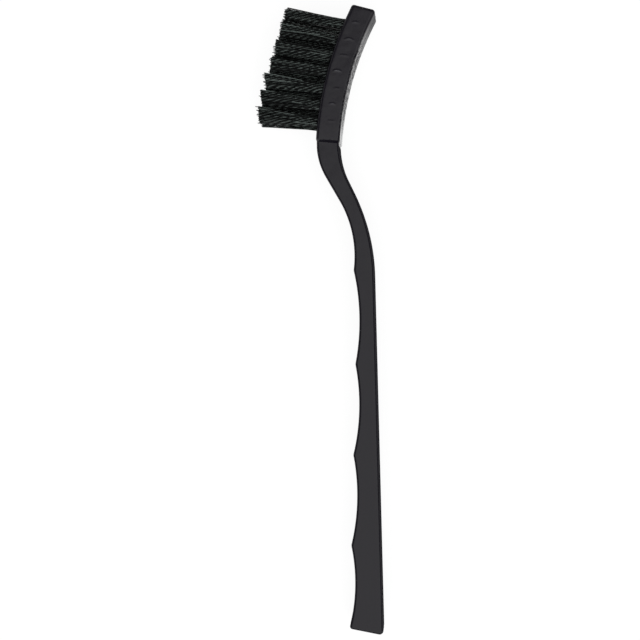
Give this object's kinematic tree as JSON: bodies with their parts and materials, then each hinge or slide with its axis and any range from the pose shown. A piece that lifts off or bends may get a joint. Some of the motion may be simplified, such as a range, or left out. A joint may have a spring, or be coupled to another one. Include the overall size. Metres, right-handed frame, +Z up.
{
  "type": "anti-static hand brush",
  "caption": "Slim hand brush with a finger-grooved handle, S-bent neck and curved head; stapled tufts of conductive bristle sweep dust from circuit boards and housings.",
  "frame": {"origin": "centre of the box's underside, with the brush lying on its side", "axes": "+X along the handle to the tip of the head, +Y the way the bristles point, +Z up across the width"},
  "size_m": [0.1748, 0.0334, 0.0132],
  "materials": {
    "handle_plastic": "fine matte moulded surface, satin at a low angle",
    "bristles": "smooth drawn filament with a soft sheen along it",
    "anchor_wire": "drawn flat wire"
  },
  "bodies": {
    "root": {"body": "handle_plastic", "tuft_lower_1": "bristles", "tuft_lower_2": "bristles", "tuft_lower_3": "bristles", "tuft_lower_4": "bristles", "tuft_lower_5": "bristles", "tuft_lower_6": "bristles", "tuft_lower_7": "bristles", "tuft_middle_1": "bristles", "tuft_middle_2": "bristles", "tuft_middle_3": "bristles", "tuft_middle_4": "bristles", "tuft_middle_5": "bristles", "tuft_middle_6": "bristles", "tuft_upper_1": "bristles", "tuft_upper_2": "bristles", "tuft_upper_3": "bristles", "tuft_upper_4": "bristles", "tuft_upper_5": "bristles", "tuft_upper_6": "bristles", "tuft_upper_7": "bristles", "anchor_lower_1": "anchor_wire", "anchor_lower_2": "anchor_wire", "anchor_lower_3": "anchor_wire", "anchor_lower_4": "anchor_wire", "anchor_lower_5": "anchor_wire", "anchor_lower_6": "anchor_wire", "anchor_lower_7": "anchor_wire", "anchor_middle_1": "anchor_wire", "anchor_middle_2": "anchor_wire", "anchor_middle_3": "anchor_wire", "anchor_middle_4": "anchor_wire", "anchor_middle_5": "anchor_wire", "anchor_middle_6": "anchor_wire", "anchor_upper_1": "anchor_wire", "anchor_upper_2": "anchor_wire", "anchor_upper_3": "anchor_wire", "anchor_upper_4": "anchor_wire", "anchor_upper_5": "anchor_wire", "anchor_upper_6": "anchor_wire", "anchor_upper_7": "anchor_wire"}
  },
  "joints": []
}
